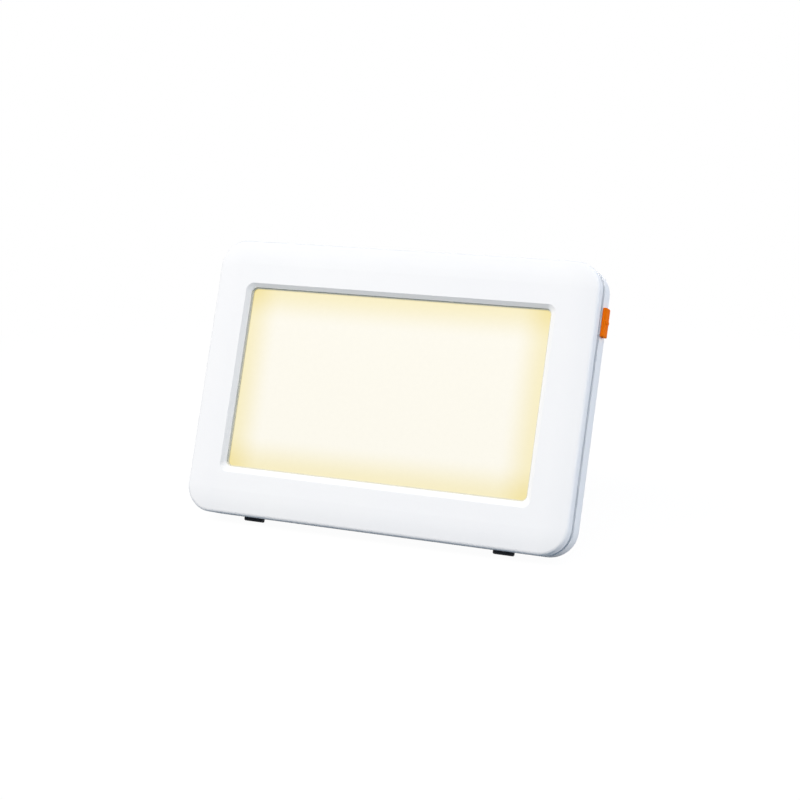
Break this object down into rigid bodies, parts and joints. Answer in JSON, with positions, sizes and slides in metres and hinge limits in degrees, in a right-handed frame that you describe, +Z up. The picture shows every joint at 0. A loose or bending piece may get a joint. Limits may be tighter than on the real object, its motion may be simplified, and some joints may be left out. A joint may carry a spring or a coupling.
{
  "type": "light therapy lamp",
  "caption": "Tilted flat-panel desk lamp with a bevelled lit window, a slide switch on its side, rubber feet and a fold-out rear stand.",
  "frame": {"origin": "on the table, under the middle of the lamp's overall box, with the stand open", "axes": "+X to the lamp's right as seen from the lit side, +Y to its back, +Z up; the lit face looks towards -Y and leans 20 degrees back"},
  "size_m": [0.2024, 0.067, 0.1355],
  "materials": {
    "white_housing": "satin moulded ABS, cool white",
    "pale_gasket": "closed-cell foam strip, pale cream",
    "diffuser": "opal acrylic, lit warm white from behind",
    "film": "matt diffusing film",
    "reflector": "white reflecting ABS",
    "steel": "zinc plated",
    "white_board": "white solder mask",
    "green_board": "green solder mask",
    "led": "phosphor-filled LED packages",
    "ferrite": "dark grey ferrite",
    "aluminium_can": "bare can",
    "black_plastic": "black moulded",
    "nylon": "natural nylon",
    "plated_brass": "nickel plated",
    "orange_plastic": "satin moulded, orange",
    "red_insulation": "PVC insulation, red",
    "black_insulation": "PVC insulation, black",
    "black_rubber": "black elastomer"
  },
  "bodies": {
    "housing": {"front_frame": "white_housing", "rear_cover": "white_housing", "window_gasket": "pale_gasket", "diffuser_panel": "diffuser", "diffuser_film": "film", "reflector_tray": "reflector", "tray_screws": "steel", "led_board": "white_board", "led_packages": "led", "led_board_screws": "steel", "driver_board": "green_board", "driver_board_screws": "steel", "driver_inductor": "ferrite", "driver_capacitors": "aluminium_can", "driver_chip": "black_plastic", "driver_diode": "black_plastic", "driver_connectors": "nylon", "dc_jack": "black_plastic", "dc_jack_pin": "plated_brass", "dc_jack_lugs": "plated_brass", "dc_jack_nut": "steel", "switch_board": "green_board", "switch_body": "black_plastic", "switch_cover_plate": "steel", "switch_terminals": "plated_brass", "lead_jack_to_switch": "red_insulation", "lead_switch_to_driver": "red_insulation", "lead_jack_to_driver": "black_insulation", "lead_to_leds_plus": "red_insulation", "lead_to_leds_minus": "black_insulation", "rubber_foot_left": "black_rubber", "rubber_foot_right": "black_rubber", "rear_cover_screws": "steel"},
    "switch": {"switch_knob": "orange_plastic", "switch_actuator": "black_plastic"},
    "stand": {"stand_leg": "white_housing", "stand_foot_pad": "black_rubber", "hinge_pin_left": "steel", "hinge_pin_right": "steel", "hinge_washers": "nylon"}
  },
  "joints": [
    {"name": "stand_hinge", "type": "hinge", "parent": "housing", "child": "stand", "pos_m": [-0.00122, 0.01465, 0.07914], "axis": [1, 0, 0], "range_deg": [-32, 0]},
    {"name": "switch_slide", "type": "slide", "parent": "housing", "child": "switch", "axis": [0, 0.342, 0.9397], "range_m": [-0.004, 0]}
  ]
}
